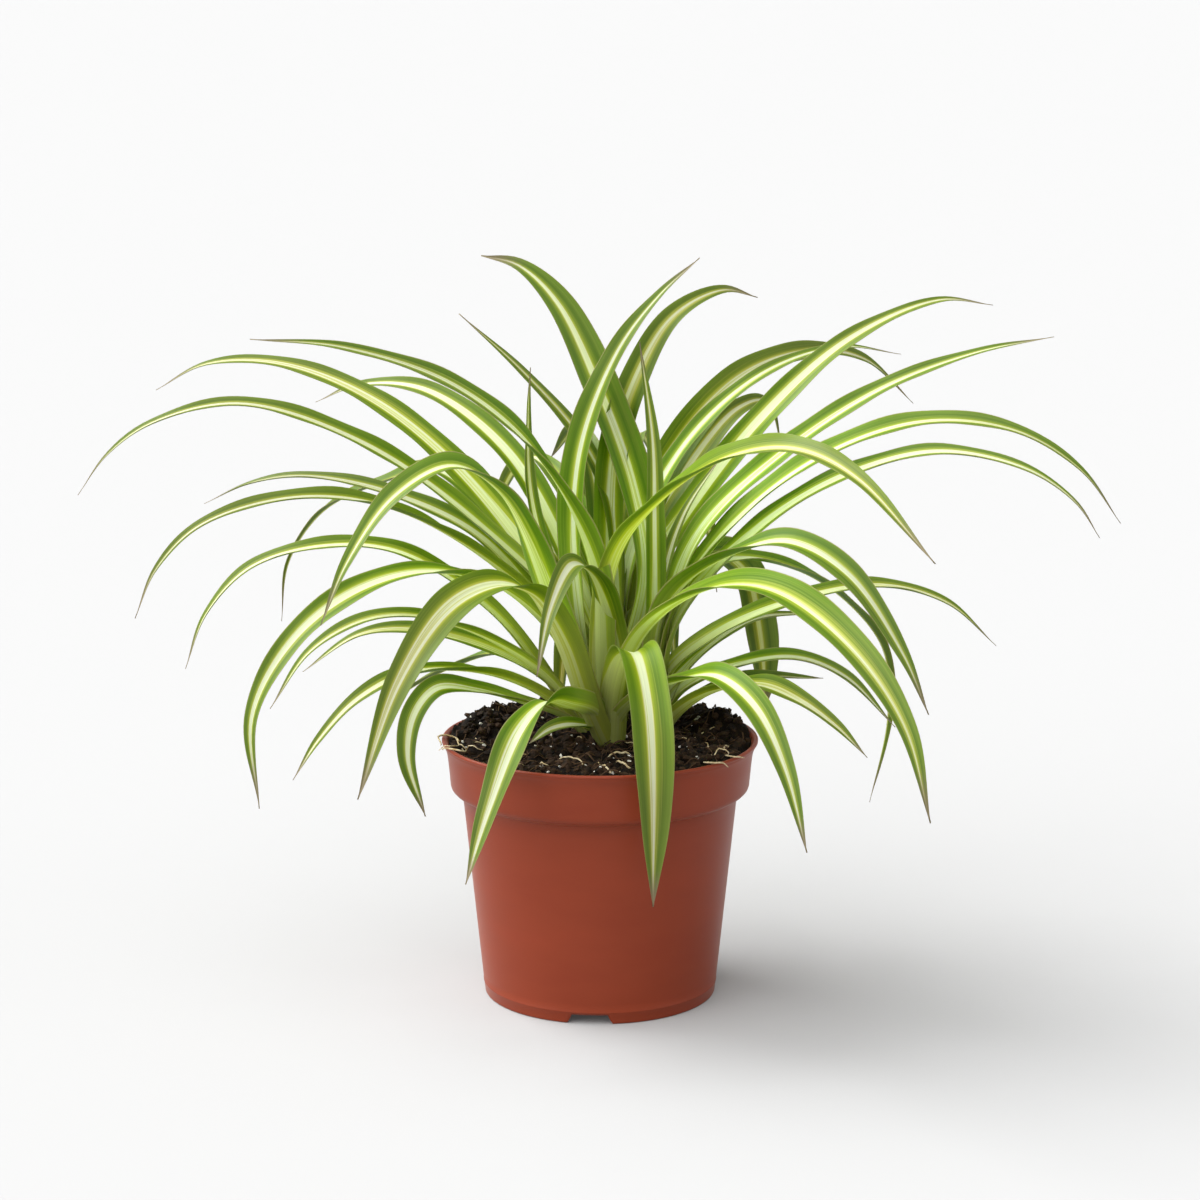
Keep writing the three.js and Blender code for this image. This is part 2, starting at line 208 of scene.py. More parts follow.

# studio floor: matt grey that the lights bring to nearly white, with a faint painted glow of its own that
# lightens the shadows, though the floor is no lamp
paper, tree, output = newMaterial("studio floor with painted glow")
shader = addNode(tree, "ShaderNodeBsdfPrincipled", {
    "Base Color": studio["floor"], "Roughness": 0.9, "Specular IOR Level": 0.0,
    "Emission Color": "#FFFFFF", "Emission Strength": studio["floorPaintedGlow"]})
tree.links.new(shader.outputs[0], output.inputs["Surface"])
floorMesh = bpy.data.meshes.new("floor")
far = studio["floorReach"]
floorCorners = [(-far, -far, 0), (far, -far, 0), (far, far, 0), (-far, far, 0)]
floorMesh.from_pydata(floorCorners, [], [(0, 1, 2, 3)])
floorMesh.materials.append(paper)
floor = bpy.data.objects.new("floor", floorMesh)
bpy.context.scene.collection.objects.link(floor)
print("camera, light and floor are set")


pot = {
    "height": 99.5, "sides": 288, "wall": 1.6, "lipRadius": 60, "lipBead": 0.75,
    "bandRadius": 58.2, "bandFootRadius": 56.8, "bandDepth": 17.5, "shoulderDrop": 4, "bodyTopRadius": 52.2,
    "footRadius": 44.2, "footRounding": 0.8, "footRingWidth": 3.2, "seamHeight": 4.65, "seamProud": 0.12,
    "floorHeight": 4.2, "floorThickness": 1.8,
    "notchAngles": (265, 25, 145), "notchWidth": 17, "notchTopWidth": 13.5, "notchHeight": 3.6,
    "drainHoles": 6, "drainRadius": 3.5, "drainCircle": 27, "drainSides": 24, "drillSpan": (1, 9),
    "colour": "#7C3119", "lightColour": "#7F321A", "darkColour": "#792E17",
}


def potBodyRadius(height):
    # radius of the outside of the tapering body at a height
    bodyTop = pot["height"] - pot["bandDepth"] - pot["shoulderDrop"]
    return pot["footRadius"] + (pot["bodyTopRadius"] - pot["footRadius"]) * height / bodyTop


def potMaterial():
    # injection-moulded polypropylene, dyed terracotta: an even colour with a satin sheen, faint flow marks
    # round the wall and a very fine grain that breaks up the highlight
    material, tree, output = newMaterial("moulded polypropylene, terracotta")
    place = addNode(tree, "ShaderNodeTexCoord").outputs["Object"]
    flow = addNode(tree, "ShaderNodeMapping", {"Vector": place, "Scale": (22, 22, 60)})
    cloud = addNode(tree, "ShaderNodeTexNoise", {
        "Vector": flow, "Scale": 1.0, "Detail": 4.0, "Roughness": 0.55})
    tint = addNode(tree, "ShaderNodeValToRGB", {"Fac": cloud}, ramp=[
        (0.3, pot["darkColour"]), (0.7, pot["lightColour"]), (0.5, pot["colour"])])
    # the grain of the mould's surface is about 0.4 mm
    grain = addNode(tree, "ShaderNodeTexNoise", {"Vector": place, "Scale": 2400.0, "Detail": 2.0})
    rough = addNode(tree, "ShaderNodeMapRange", {"Value": cloud, "To Min": 0.38, "To Max": 0.48})
    bump = addNode(tree, "ShaderNodeBump", {"Height": grain, "Strength": 0.05, "Distance": 0.0001})
    shader = addNode(tree, "ShaderNodeBsdfPrincipled", {
        "Base Color": tint, "Roughness": rough, "IOR": 1.49, "Specular IOR Level": 0.22,
        "Sheen Weight": 0.1, "Sheen Roughness": 0.3, "Sheen Tint": "#FFD8C4", "Normal": bump})
    tree.links.new(shader.outputs[0], output.inputs["Surface"])
    return material


def potProfile():
    # the wall's outline as [radius, height], from the underside, up the outside and down to the inside floor
    band = pot["height"] - pot["bandDepth"]
    foot, lip, top, wall = pot["footRadius"], pot["lipRadius"], pot["height"], pot["wall"]
    bodyTop, bandFoot, bandTop = pot["bodyTopRadius"], pot["bandFootRadius"], pot["bandRadius"]
    ring, floor = foot - pot["footRingWidth"], pot["floorHeight"]
    underside = np.array([[ring - 0.3, floor], [ring, floor - 0.3], [ring, 0.4], [ring + 0.4, 0]])
    bend, rounding = np.linspace(0, np.pi / 2, 5), pot["footRounding"]
    footRound = np.stack([foot - rounding + rounding * np.sin(bend), rounding - rounding * np.cos(bend)], -1)
    # a thin mould line stands proud just above the foot
    line = pot["seamHeight"] + np.array([-0.35, -0.15, 0.15, 0.35])
    seam = np.stack([potBodyRadius(line) + pot["seamProud"] * np.array([0, 1, 1, 0]), line], -1)
    level = np.linspace(8, band - 4.2, 16)
    body = np.stack([potBodyRadius(level), level], -1)
    # under the band: a fillet out of the body, a slope, and a rounded lower edge
    under = np.array([
        [bodyTop + 0.25, band - 3.7], [bodyTop + 1.0, band - 3.2], [bandFoot - 2.4, band - 2.6],
        [bandFoot - 1.1, band - 1.9], [bandFoot - 0.35, band - 1.1], [bandFoot - 0.05, band - 0.2]])
    # the band leans out evenly, then flares into the bead of the lip
    climb = np.linspace(0, 1, 14)
    flare = (lip - 0.45 - bandTop) * climb ** 7
    side = np.stack([bandFoot + 0.05 + (bandTop - bandFoot) * climb + flare,
                     band + 1 + (top - 2.6 - band) * climb], -1)
    turn = np.linspace(-0.35 * np.pi, 0.6 * np.pi, 8)
    bead = pot["lipBead"] * np.stack([np.cos(turn) - 1, np.sin(turn) - 1], -1) + [lip, top]
    inside = np.array([[lip - 1.9, top - 0.5], [lip - 2.4, top - 1.4], [bandTop - wall, top - 6],
                       [bandFoot - wall, band + 0.4], [bodyTop - wall, band - pot["shoulderDrop"]],
                       [potBodyRadius(6.5) - wall, 7.2], [potBodyRadius(6) - wall - 0.8, 6.0]])
    return np.vstack([underside, footRound, seam, body, under, side, bead, inside])


def potSurface():
    # the outline turned about the upright axis; where a drainage notch is, no point lies lower than its roof
    profile = potProfile()
    sides = pot["sides"]
    angle = np.linspace(0, 2 * np.pi, sides, endpoint=False)
    radius = np.repeat(profile[:, :1], sides, 1)
    height = np.repeat(profile[:, 1:], sides, 1)
    slope = (pot["notchWidth"] - pot["notchTopWidth"]) / 2
    onRing = radius > pot["footRadius"] - pot["footRingWidth"] - 0.1
    for middle in pot["notchAngles"]:
        away = np.abs((np.degrees(angle) - middle + 180) % 360 - 180)
        arc = np.radians(away)[None, :] * radius
        roof = pot["notchHeight"] * np.clip((pot["notchWidth"] / 2 - arc) / slope, 0, 1)
        height = np.where(onRing, np.maximum(height, roof), height)
    points = np.stack([radius * np.cos(angle), radius * np.sin(angle), height], -1).reshape(-1, 3)
    centre, lastRing = len(points), (len(profile) - 1) * sides
    floor = pot["floorHeight"]
    points = np.vstack([points, [0, 0, floor], [0, 0, floor + pot["floorThickness"]]])
    faces = gridFaces(len(profile), sides).tolist()
    faces += capFaces(0, sides, centre, True) + capFaces(lastRing, sides, centre + 1, False)
    return points, faces


def drillDrainHoles(piece):
    # round holes through the floor, evenly spaced on a circle, cut with one tool that has a cylinder for each
    holes, sides = pot["drainHoles"], pot["drainSides"]
    around = 2 * np.pi * np.arange(holes) / holes
    angle = np.linspace(0, 2 * np.pi, sides, endpoint=False)
    middles = pot["drainCircle"] * np.stack([np.cos(around), np.sin(around)], -1)
    rings = middles[:, None] + pot["drainRadius"] * np.stack([np.cos(angle), np.sin(angle)], -1)
    levels = np.broadcast_to(np.array(pot["drillSpan"])[:, None, None], (holes, 2, sides, 1))
    points = np.concatenate([np.repeat(rings[:, None], 2, 1), levels], -1).reshape(-1, 3)
    cutterMesh = bpy.data.meshes.new("drainCutter")
    cutterMesh.from_pydata((points * mm).tolist(), [], tubeFaces(2, sides, holes))
    cutter = bpy.data.objects.new("drainCutter", cutterMesh)
    bpy.context.scene.collection.objects.link(cutter)
    cut = piece.modifiers.new("drainHoles", "BOOLEAN")
    cut.operation, cut.solver, cut.object = "DIFFERENCE", "EXACT", cutter
    bpy.context.view_layer.update()
    cutMesh = bpy.data.meshes.new_from_object(piece.evaluated_get(bpy.context.evaluated_depsgraph_get()))
    piece.modifiers.clear()
    piece.data = cutMesh
    bpy.data.objects.remove(cutter)


potPiece = makePiece("nurseryPot", *potSurface(), potMaterial(), "pot_plastic")
drillDrainHoles(potPiece)
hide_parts("pot")
print("pot:", len(potPiece.data.polygons), "faces")


mix = {
    "edgeHeight": 97.8, "mound": 0.7, "backRise": 4.8, "lipInset": 2.7, "clearance": 0.5,
    "rings": 110, "sides": 300, "seed": 7,
    "clods": 70, "clodHeight": 2.6, "clodRadius": 6.5, "clodReach": 55,
    "hollowDepth": 2.6, "hollowSize": 5.2, "hollowSeed": 4, "sunk": 0.3,
    "crumbs": 1500, "fibres": 190, "perlite": 110, "trimReach": 54.5,
    "dark": "#070402", "brown": "#1A1109", "paleBrown": "#553A22", "barkBrown": "#3A2715",
    "fibreShade": "#3A2A1C", "fibreColour": "#57402A", "perliteShade": "#BDB8AC",
    "perliteColour": "#E9E6DE", "rootShade": "#A88F62", "rootColour": "#DDCFAE",
}
# roughness of the mix in three sizes: height, size of a bump, seed
mixRoughness = [(0.7, 9, 1), (0.9, 4.1, 2), (0.7, 2.0, 3)]
# lumps of mix that stand up against the back of the rim: angle, distance, height, radius
mixBanks = [
    [12, 52, 3, 6], [24, 51, 4, 7], [38, 51, 1, 6], [60, 49, 1.5, 7], [85, 50, 1, 8],
    [112, 49, 1.5, 7], [130, 50, 1, 5], [143, 52, 2.5, 4], [157, 52, 3, 5], [166, 52, 2, 4],
]


def mixLumps():
    # the banks and clods that the solid mix has too, as rows of [x, y, height, radius]
    state, multiplier, increment, modulus = mix["seed"], 1664525, 1013904223, 4294967296
    rows = [[d * math.cos(math.radians(a)), d * math.sin(math.radians(a)), h, r] for a, d, h, r in mixBanks]
    for i in range(mix["clods"]):
        draws = []
        for k in range(4):
            state = (state * multiplier + increment) % modulus
            draws.append(state / modulus)
        angle, distance = 2 * math.pi * draws[0], mix["clodReach"] * math.sqrt(draws[1])
        rows.append([distance * math.cos(angle), distance * math.sin(angle),
                     mix["clodHeight"] * (draws[2] - 0.35), mix["clodRadius"] * (0.6 + 0.6 * draws[3])])
    return np.array(rows)


lumps = mixLumps()


def mixHeight(x, y):
    # a low mound heaped up towards the back wall, a bell-shaped lump for each clod and bank, bumps of three
    # sizes, and hollows where crumbs leave a gap
    share = np.hypot(x, y) / pot["bandRadius"]
    heap = smoothStep(-6, 18, y) * (smoothStep(0.5, 0.86, share) - 0.45 * smoothStep(0.88, 0.96, share))
    away = np.hypot(x[..., None] - lumps[:, 0], y[..., None] - lumps[:, 1]) / lumps[:, 3]
    height = mix["edgeHeight"] + mix["mound"] * (1 - share ** 2) + mix["backRise"] * heap
    height += (lumps[:, 2] * np.exp(-1.6 * away ** 2)).sum(-1)
    height += sum(rise * valueNoise(x, y, size, seed) for rise, size, seed in mixRoughness)
    hollow = smoothStep(0.1, 0.75, valueNoise(x, y, mix["hollowSize"], mix["hollowSeed"]))
    return height - mix["hollowDepth"] * hollow - mix["sunk"]


def mixSurface():
    # rings of points from the underside up the wall and over the rough top to its middle
    angle = np.linspace(0, 2 * np.pi, mix["sides"], endpoint=False)
    band = pot["height"] - pot["bandDepth"]
    low = pot["floorHeight"] + pot["floorThickness"] + mix["clearance"]
    inset = pot["wall"] + mix["clearance"]
    wall = np.array([
        [potBodyRadius(low) - inset, low], [pot["bodyTopRadius"] - inset, band - pot["shoulderDrop"]],
        [pot["bandFootRadius"] - inset - 0.3, band + 1]])
    rings = (pot["lipRadius"] - mix["lipInset"]) * np.linspace(1, 1 / mix["rings"], mix["rings"])
    radius = np.concatenate([wall[:, 0], rings])[:, None] * np.ones(len(angle))
    x, y = radius * np.cos(angle), radius * np.sin(angle)
    height = np.vstack([np.repeat(wall[:, 1:], len(angle), 1), mixHeight(x[len(wall):], y[len(wall):])])
    points = np.stack([x, y, height], -1).reshape(-1, 3)
    centre, lastRing = len(points), (len(radius) - 1) * len(angle)
    points = np.vstack([points, [0, 0, low], [0, 0, mixHeight(np.zeros(1), np.zeros(1))[0]]])
    faces = gridFaces(len(radius), len(angle)).tolist()
    faces += capFaces(0, len(angle), centre, True) + capFaces(lastRing, len(angle), centre + 1, False)
    return points, faces


def mixMaterial():
    # peat and bark potting mix: nearly black when damp, with brown patches about 4 mm across and a rough face
    material, tree, output = newMaterial("damp peat and bark mix")
    place = addNode(tree, "ShaderNodeTexCoord").outputs["Object"]
    coarse = addNode(tree, "ShaderNodeTexNoise", {
        "Vector": place, "Scale": 260.0, "Detail": 5.0, "Roughness": 0.7})
    fine = addNode(tree, "ShaderNodeTexNoise", {"Vector": place, "Scale": 1400.0, "Detail": 3.0})
    tint = addNode(tree, "ShaderNodeValToRGB", {"Fac": coarse}, ramp=[
        (0.38, mix["dark"]), (0.8, mix["paleBrown"]), (0.6, mix["brown"])])
    bump = addNode(tree, "ShaderNodeBump", {"Height": fine, "Strength": 0.8, "Distance": 0.0006})
    shader = addNode(tree, "ShaderNodeBsdfPrincipled", {
        "Base Color": tint, "Roughness": 0.9, "Specular IOR Level": 0.12, "Normal": bump})
    tree.links.new(shader.outputs[0], output.inputs["Surface"])
    return material


def crumbMaterial(name, dark, pale, scale, roughness):
    # a broken natural bit: its colour drifts from bit to bit, and its face is dull
    material, tree, output = newMaterial(name)
    place = addNode(tree, "ShaderNodeTexCoord").outputs["Object"]
    drift = addNode(tree, "ShaderNodeTexNoise", {
        "Vector": place, "Scale": scale, "Detail": 3.0, "Roughness": 0.7})
    tint = addNode(tree, "ShaderNodeValToRGB", {"Fac": drift}, ramp=[(0.35, dark), (0.68, pale)])
    bump = addNode(tree, "ShaderNodeBump", {"Height": drift, "Strength": 0.5, "Distance": 0.0004})
    shader = addNode(tree, "ShaderNodeBsdfPrincipled", {
        "Base Color": tint, "Roughness": roughness, "Specular IOR Level": 0.2, "Normal": bump})
    tree.links.new(shader.outputs[0], output.inputs["Surface"])
    return material


def scatterPlaces(count, seed, spread):
    # places drawn evenly over the disc of mix, with the height of the mix there
    draw = np.random.default_rng(seed)
    angle, distance = 2 * np.pi * draw.random(count), spread * np.sqrt(draw.random(count))
    x, y = distance * np.cos(angle), distance * np.sin(angle)
    return np.stack([x, y, mixHeight(x, y)], -1), draw


def bitShapes(places, sizes, draw, flat=0.6, jitter=0.28):
    # each bit is a twelve-cornered lump: unit corners stretched, jittered and turned at random
    g = (1 + 5 ** 0.5) / 2
    corners = np.array([[-1, g, 0], [1, g, 0], [-1, -g, 0], [1, -g, 0], [0, -1, g], [0, 1, g],
                        [0, -1, -g], [0, 1, -g], [g, 0, -1], [g, 0, 1], [-g, 0, -1], [-g, 0, 1]]) / 1.9
    triangles = np.array([[0, 11, 5], [0, 5, 1], [0, 1, 7], [0, 7, 10], [0, 10, 11], [1, 5, 9], [5, 11, 4],
                          [11, 10, 2], [10, 7, 6], [7, 1, 8], [3, 9, 4], [3, 4, 2], [3, 2, 6], [3, 6, 8],
                          [3, 8, 9], [4, 9, 5], [2, 4, 11], [6, 2, 10], [8, 6, 7], [9, 8, 1]])
    n = len(places)
    shape = corners[None] * (1 + jitter * draw.uniform(-1, 1, (n, len(corners), 1)))
    stretch = np.stack([draw.uniform(0.7, 1.5, n), draw.uniform(0.6, 1.1, n), draw.uniform(flat, 1.0, n)], -1)
    shape = shape * stretch[:, None] * sizes[:, None, None] / 2
    turn, tip = 2 * np.pi * draw.random(n), draw.uniform(-0.7, 0.7, n)
    x = shape[..., 0] * np.cos(tip)[:, None] + shape[..., 2] * np.sin(tip)[:, None]
    z = -shape[..., 0] * np.sin(tip)[:, None] + shape[..., 2] * np.cos(tip)[:, None]
    c, s = np.cos(turn)[:, None], np.sin(turn)[:, None]
    shape = np.stack([x * c - shape[..., 1] * s, x * s + shape[..., 1] * c, z], -1)
    points = (shape + places[:, None]).reshape(-1, 3)
    faces = (triangles[None] + len(corners) * np.arange(n)[:, None, None]).reshape(-1, 3)
    return points, faces.tolist()


def strandShapes(paths, radii):
    # each strand is a five-sided tube round its path, thinner at both ends
    sides, (n, k, _) = 5, paths.shape
    along = np.gradient(paths, axis=1)
    along /= np.linalg.norm(along, axis=-1, keepdims=True)
    aside = np.cross(along, [0.31, 0.22, 0.92])
    aside /= np.linalg.norm(aside, axis=-1, keepdims=True)
    above = np.cross(along, aside)
    angle = np.linspace(0, 2 * np.pi, sides, endpoint=False)
    taper = radii[:, None] * (0.35 + 0.65 * np.sin(np.pi * np.linspace(0.04, 0.96, k))[None])
    ring = aside[:, :, None] * np.cos(angle)[:, None] + above[:, :, None] * np.sin(angle)[:, None]
    points = (paths[:, :, None] + ring * taper[:, :, None, None]).reshape(-1, 3)
    return points, tubeFaces(k, sides, n)


def lyingPaths(places, lengths, draw, steps, curl, lift):
    # a wandering line from each place: its heading drifts as it goes, and it lies on the mix or arches up to
    # 1.6 mm above it
    n = len(places)
    bias = draw.uniform(-1, 1, (n, 1))
    turn = bias + 0.8 * np.sin(np.linspace(0, 1, steps)[None] * draw.uniform(3, 9, (n, 1)))
    heading = 2 * np.pi * draw.random((n, 1)) + curl * np.cumsum(turn, 1) / steps * 4
    step = (lengths / (steps - 1))[:, None]
    x = places[:, :1] + np.cumsum(np.cos(heading) * step, 1)
    y = places[:, 1:2] + np.cumsum(np.sin(heading) * step, 1)
    limit = np.minimum(1, mix["trimReach"] / np.hypot(x, y))
    x, y = x * limit, y * limit
    hump = draw.uniform(0, 1, (n, 1)) * np.sin(np.pi * np.linspace(0, 1, steps))[None]
    return np.stack([x, y, mixHeight(x, y) + lift + 1.6 * hump], -1)


mixPiece = makePiece("pottingMix", *mixSurface(), mixMaterial(), "potting_mix")
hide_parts("potting_mix")
places, draw = scatterPlaces(mix["crumbs"], 11, 56)
sizes = draw.uniform(1.2, 4.2, len(places))
makePiece("mixCrumbs", *bitShapes(places, sizes, draw), crumbMaterial(
    "broken pine bark", mix["dark"], mix["barkBrown"], 220.0, 0.85), "potting_mix", smooth=False)
places, draw = scatterPlaces(mix["perlite"], 12, 54)
places[:, 2] += 0.5
sizes = draw.uniform(0.5, 1.7, len(places))
makePiece("perliteBits", *bitShapes(places, sizes, draw, 0.5, 0.5), crumbMaterial(
    "expanded perlite", mix["perliteShade"], mix["perliteColour"], 900.0, 0.8), "potting_mix", smooth=False)
places, draw = scatterPlaces(mix["fibres"], 13, 54)
paths = lyingPaths(places, draw.uniform(5, 17, len(places)), draw, 8, 1.1, 0.4)
makePiece("barkFibres", *strandShapes(paths, draw.uniform(0.14, 0.36, len(paths))), crumbMaterial(
    "coir and bark fibre", mix["fibreShade"], mix["fibreColour"], 160.0, 0.8), "potting_mix")
# pale rootlets washed bare at the front and near the wall: place, and length, of each
rootPlaces = np.array([
    [-7, -41, 14], [-1, -37, 15], [7, -33, 13], [13, -26, 12], [3, -43, 9], [-57, -2, 15], [-53, -9, 14],
    [-48, -8, 10], [-36, -38, 9], [34, -4, 16], [38, -15, 13], [41, -29, 11], [44, -21, 13], [-9, 4, 9],
    [-7, 22, 12], [-4, 20, 9], [8, -6, 8], [-26, -25, 10], [-20, -30, 9], [46, 10, 12], [20, -24, 9]])
# and a few that hang out over the lip: angle, and how far each hangs down
overLip = np.array([[185, 2], [194, 3.5], [201, 1.5], [317, 3], [329, 2]])
rootlet = {"steps": 14, "lipStart": 53.5, "pastLip": 1.1, "startHeight": 98.8, "climb": 1.5}


def overLipPaths():
    # each path runs outwards with a slight wave, climbs to the lip and hangs down past it
    t = np.linspace(0, 1, rootlet["steps"])[None]
    angle, hang = overLip[:, :1], overLip[:, 1:]
    run = pot["lipRadius"] + rootlet["pastLip"] - rootlet["lipStart"]
    distance = rootlet["lipStart"] + run * smoothStep(0, 0.7, t) + 0.6 * np.sin(9 * t + angle)
    around = np.radians(angle + 4 * np.sin(5 * t + angle))
    height = rootlet["startHeight"] + rootlet["climb"] * smoothStep(0, 0.5, t) - hang * smoothStep(0.6, 1, t)
    return np.stack([distance * np.cos(around), distance * np.sin(around), height], -1)


draw = np.random.default_rng(14)
paths = lyingPaths(rootPlaces, rootPlaces[:, 2], draw, rootlet["steps"], 0.8, 0.6)
paths = np.concatenate([paths, overLipPaths()])
makePiece("rootlets", *strandShapes(paths, draw.uniform(0.22, 0.5, len(paths))), crumbMaterial(
    "living rootlet", mix["rootShade"], mix["rootColour"], 300.0, 0.6), "potting_mix")
print("potting mix:", len(mixPiece.data.polygons), "faces, with crumbs, perlite, fibres and rootlets")


leaf = {
    "rootReach": 2.5, "rootHeight": 96, "baseShare": 0.88, "taperPower": 1.8, "tipWidth": 0.5,
    "thickness": 0.55, "edgeThinning": 0.55,
    "stations": 84, "across": 12, "foldAtBase": 42, "foldAtBelly": 25, "ripple": 0.35, "rippleLength": 34,
    "sway": 5, "foldCurve": 1.35,
    "cream": "#CDD3B8", "warmCream": "#C4C892", "lime": "#ADB248", "paleGreen": "#94A22A",
    "midGreen": "#7D9217", "darkGreen": "#547507", "edgeGreen": "#678518", "paleBase": "#B7BD66",
    "underTint": "#F0F0CA", "dryTip": "#8E7E69", "dryEdge": "#B7A57A", "backlight": "#D6DC70",
    "translucency": 0.42,
    # painted light and shade along each blade: brightness of its inner half, root and outer half, and
    # saturation of its inner and outer halves
    "innerLight": 1.38, "rootLight": 0.76, "outerLight": 0.8, "innerSaturation": 1.06, "outerSaturation": 0.9,
}
# a blade is [heading, width, base tilt, tip tilt, belly, then points of its midline as [reach, height]]; the
# heading turns from +X towards +Y, a tilt turns the upper face to the front, belly is the share of its length
# where it is widest, reach is counted from its crown, and height from the floor
fans = {}
fans["rosette_front"] = {"at": [4, -4], "blades": [
    [198, 12.5, -40, 40, 0.4, [3, 130], [6, 168], [27, 209], [60, 237], [101, 252], [135, 256]],
    [218, 15, -30, 30, 0.4, [12, 118], [26, 152], [49, 199], [72, 212], [98, 203], [118, 181], [129, 160]],
    [229, 15.5, -10, 32, 0.55, [13, 114], [26, 142], [43, 163], [62, 169], [87, 164], [113, 141], [134, 103]],
    [250, 12.5, 0, 25, 0.45, [-7, 127], [4, 152], [20, 168], [42, 174], [64, 161], [77, 140]],
    [237, 14, -50, 10, 0.55, [4, 105], [13, 114], [27, 119.5], [42, 123.5], [60, 116], [80, 91], [95, 66]],
    [215, 9, 10, 20, 0.5, [5, 103], [15, 107.5], [27, 107.5], [37, 103]],
    [284, 16.5, 0, 8, 0.6, [8, 118], [25, 138], [42, 142], [58, 126], [65, 98], [63, 52]],
    [307, 12, 12, 30, 0.55, [4, 107], [15, 118], [39, 130], [64, 136], [86, 128], [102, 109], [114, 81]],
    [317, 13.5, 5, 40, 0.6, [9, 132], [25, 152], [54, 167], [84, 168], [118, 151], [140, 127], [151, 95]],
    [309, 14, 8, 35, 0.45, [-5, 135], [3, 171], [31, 198], [68, 217], [103, 223], [133, 216], [170, 192]],
]}
fans["rosette_left"] = {"at": [-3, 12], "blades": [
    [185, 11, 25, 25, 0.4, [9, 142], [42, 180], [86, 212], [131, 227], [164, 220], [181, 208], [192, 193]],
    [165, 13, 35, 35, 0.4, [9, 138], [42, 187], [82, 221], [122, 236], [155, 235], [176, 224]],
    [165, 10, 20, 20, 0.45, [12, 132], [42, 171], [80, 188], [115, 193], [138, 189], [157, 180]],
    [195, 11, -25, 25, 0.45, [8, 130], [31, 160], [73, 188], [111, 195], [148, 186], [165, 170], [173, 152]],
    [185, 10, 25, 25, 0.5, [16, 118], [38, 147], [72, 170], [101, 173], [129, 165], [146, 147], [154, 126]],
    [209, 11.5, -20, 32, 0.6, [9, 128], [38, 159], [69, 168], [99, 163], [124, 147], [140, 121], [138, 86]],
    [195, 9, -20, 20, 0.5, [17, 120], [43, 139], [69, 148], [89, 147], [109, 136], [124, 115]],
    [185, 9, 25, 25, 0.5, [16, 118], [41, 133], [69, 140], [89, 138], [110, 124]],
    [195, 10, -20, 25, 0.5, [17, 113], [43, 125], [71, 126], [91, 117], [106, 102], [116, 87]],
    [150, 8, 10, 10, 0.5, [14, 112], [38, 125], [66, 116], [90, 101], [103, 84]],
    [200, 9.5, 0, 65, 0.65, [10, 105], [28, 113], [46, 119], [62, 121], [71, 112], [74, 95], [67, 71]],
    [10, 13, 40, 40, 0.5, [-5, 140], [-8, 182], [-4, 213], [10, 246], [26, 266], [41, 279]],
    [150, 8, 20, 20, 0.4, [15, 145], [27, 190], [28, 219], [27, 237]],
]}
fans["rosette_right"] = {"at": [20, 12], "blades": [
    [325, 11, -10, 18, 0.5, [12, 108], [28, 119], [48, 124], [66, 120], [82, 112], [95, 102]],
    [5, 9, 15, 15, 0.5, [14, 109], [36, 119], [66, 118]],
    [350, 10, 20, 20, 0.5, [10, 114], [32, 126], [55, 130], [74, 123], [93, 104]],
    [326, 13, -10, 33, 0.55, [2, 140], [12, 157], [34, 172], [60, 179], [85, 169], [108, 142], [119, 121]],
    [0, 11, 20, 20, 0.45, [5, 120], [22, 136], [50, 149], [86, 156], [112, 149], [131, 132]],
    [20, 8, 15, 15, 0.5, [12, 120], [40, 139], [69, 140]],
    [10, 12, 30, 30, 0.4, [6, 145], [18, 176], [49, 205], [88, 229], [126, 242], [156, 247]],
    [355, 12, 25, 25, 0.45, [5, 140], [25, 175], [60, 205], [100, 220], [135, 217], [160, 202], [175, 182]],
    [350, 11.5, 25, 25, 0.45, [8, 140], [40, 179], [72, 200], [107, 210], [140, 204], [158, 192], [167, 179]],
    [150, 9, 50, 50, 0.4, [-1, 140], [-1, 180], [0, 211], [6, 248]],
    [20, 9, 10, 10, 0.4, [3, 150], [12, 181], [28, 204]],
]}
